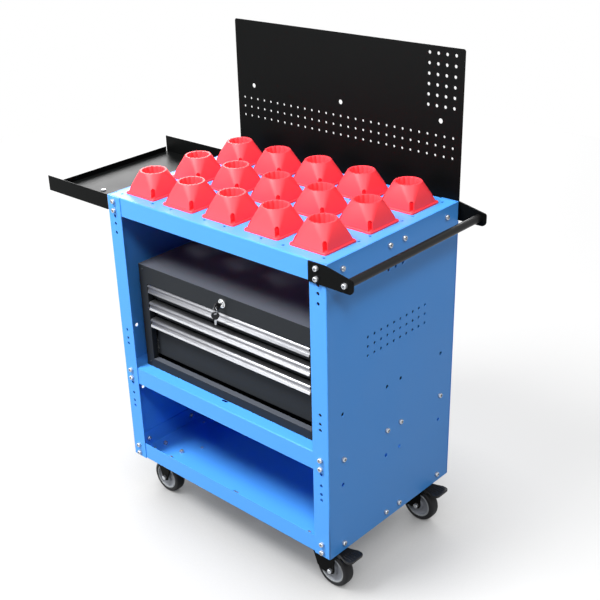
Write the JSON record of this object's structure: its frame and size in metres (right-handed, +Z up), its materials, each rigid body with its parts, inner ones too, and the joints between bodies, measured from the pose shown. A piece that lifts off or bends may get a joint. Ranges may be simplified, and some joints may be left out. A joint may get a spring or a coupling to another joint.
{
  "type": "workshop tool cart",
  "caption": "Rolling workshop cart with square-to-round tool holders on its deck, a perforated board, a side tray, a push handle, a drawer chest with lock and braked swivel casters.",
  "frame": {"origin": "middle of the overall outline, on the floor", "axes": "+X to the side with the push handle, +Y to the back where the board stands, +Z up"},
  "size_m": [0.869, 0.4195, 1.039],
  "materials": {
    "blue_paint": "satin",
    "black_paint": "satin",
    "black_texture": "matte",
    "red_plastic": "satin",
    "bright_steel": "polished",
    "aluminium": "satin",
    "chrome": "polished",
    "black_plastic": "satin",
    "grey_plastic": "matte",
    "rubber": "matte"
  },
  "bodies": {
    "cart": {"left_side_panel": "blue_paint", "right_side_panel": "blue_paint", "top_deck": "blue_paint", "middle_shelf": "blue_paint", "bottom_shelf": "blue_paint", "back_panel": "blue_paint", "peg_board": "black_paint", "side_tray": "black_paint", "handle_plate_front": "black_paint", "handle_plate_rear": "black_paint", "handle_bar": "black_paint", "handle_screws": "bright_steel", "tool_cups_front": "red_plastic", "tool_cups_middle": "red_plastic", "tool_cups_back": "red_plastic", "frame_bolts": "bright_steel", "caster_bolts": "bright_steel", "chest_shell": "black_texture", "slide_posts": "bright_steel", "slide_channels": "bright_steel", "lock_barrel": "chrome", "swivel_plates": "black_paint", "king_pins": "bright_steel", "front_left_fork": "black_paint", "front_left_axle": "bright_steel", "rear_left_fork": "black_paint", "rear_left_axle": "bright_steel"},
    "drawer_1_body": {"drawer_1": "black_texture", "drawer_1_pull": "aluminium", "drawer_1_runners": "bright_steel"},
    "drawer_2_body": {"drawer_2": "black_texture", "drawer_2_pull": "aluminium", "drawer_2_runners": "bright_steel"},
    "drawer_3_body": {"drawer_3": "black_texture", "drawer_3_pull": "aluminium", "drawer_3_runners": "bright_steel"},
    "lock_key": {"lock_plug": "chrome", "lock_cam": "bright_steel", "key": "black_plastic"},
    "front_left_wheel": {"front_left_wheel_core": "grey_plastic", "front_left_tyre": "rubber"},
    "rear_left_wheel": {"rear_left_wheel_core": "grey_plastic", "rear_left_tyre": "rubber"},
    "front_right_wheel": {"front_right_wheel_core": "grey_plastic", "front_right_tyre": "rubber"},
    "rear_right_wheel": {"rear_right_wheel_core": "grey_plastic", "rear_right_tyre": "rubber"},
    "front_right_swivel": {"front_right_fork": "black_paint", "front_right_axle": "bright_steel", "front_right_pedal_pin": "bright_steel"},
    "front_right_pedal": {"front_right_brake_pedal": "black_plastic"},
    "rear_right_swivel": {"rear_right_fork": "black_paint", "rear_right_axle": "bright_steel", "rear_right_pedal_pin": "bright_steel"},
    "rear_right_pedal": {"rear_right_brake_pedal": "black_plastic"}
  },
  "joints": [
    {"name": "drawer_1_slide", "type": "slide", "parent": "cart", "child": "drawer_1_body", "axis": [0, -1, 0], "range_m": [0, 0.2]},
    {"name": "drawer_2_slide", "type": "slide", "parent": "cart", "child": "drawer_2_body", "axis": [0, -1, 0], "range_m": [0, 0.2]},
    {"name": "drawer_3_slide", "type": "slide", "parent": "cart", "child": "drawer_3_body", "axis": [0, -1, 0], "range_m": [0, 0.2]},
    {"name": "lock_turn", "type": "hinge", "parent": "cart", "child": "lock_key", "pos_m": [0.0725, -0.171, 0.571], "axis": [0, 1, 0], "range_deg": [0, 90]},
    {"name": "front_left_roll", "type": "hinge", "parent": "cart", "child": "front_left_wheel", "pos_m": [-0.1695, -0.148, 0.04], "axis": [0, 1, 0], "continuous": true},
    {"name": "rear_left_roll", "type": "hinge", "parent": "cart", "child": "rear_left_wheel", "pos_m": [-0.1695, 0.148, 0.04], "axis": [0, 1, 0], "continuous": true},
    {"name": "front_right_swivel_turn", "type": "hinge", "parent": "cart", "child": "front_right_swivel", "pos_m": [0.3145, -0.148, 0.096], "axis": [0, 0, 1], "continuous": true},
    {"name": "front_right_brake", "type": "hinge", "parent": "front_right_swivel", "child": "front_right_pedal", "pos_m": [0.3505, -0.148, 0.087], "axis": [0, 1, 0], "range_deg": [0, 15]},
    {"name": "front_right_roll", "type": "hinge", "parent": "front_right_swivel", "child": "front_right_wheel", "pos_m": [0.3425, -0.148, 0.04], "axis": [0, 1, 0], "continuous": true},
    {"name": "rear_right_swivel_turn", "type": "hinge", "parent": "cart", "child": "rear_right_swivel", "pos_m": [0.3145, 0.148, 0.096], "axis": [0, 0, 1], "continuous": true},
    {"name": "rear_right_brake", "type": "hinge", "parent": "rear_right_swivel", "child": "rear_right_pedal", "pos_m": [0.3505, 0.148, 0.087], "axis": [0, 1, 0], "range_deg": [0, 15]},
    {"name": "rear_right_roll", "type": "hinge", "parent": "rear_right_swivel", "child": "rear_right_wheel", "pos_m": [0.3425, 0.148, 0.04], "axis": [0, 1, 0], "continuous": true}
  ]
}
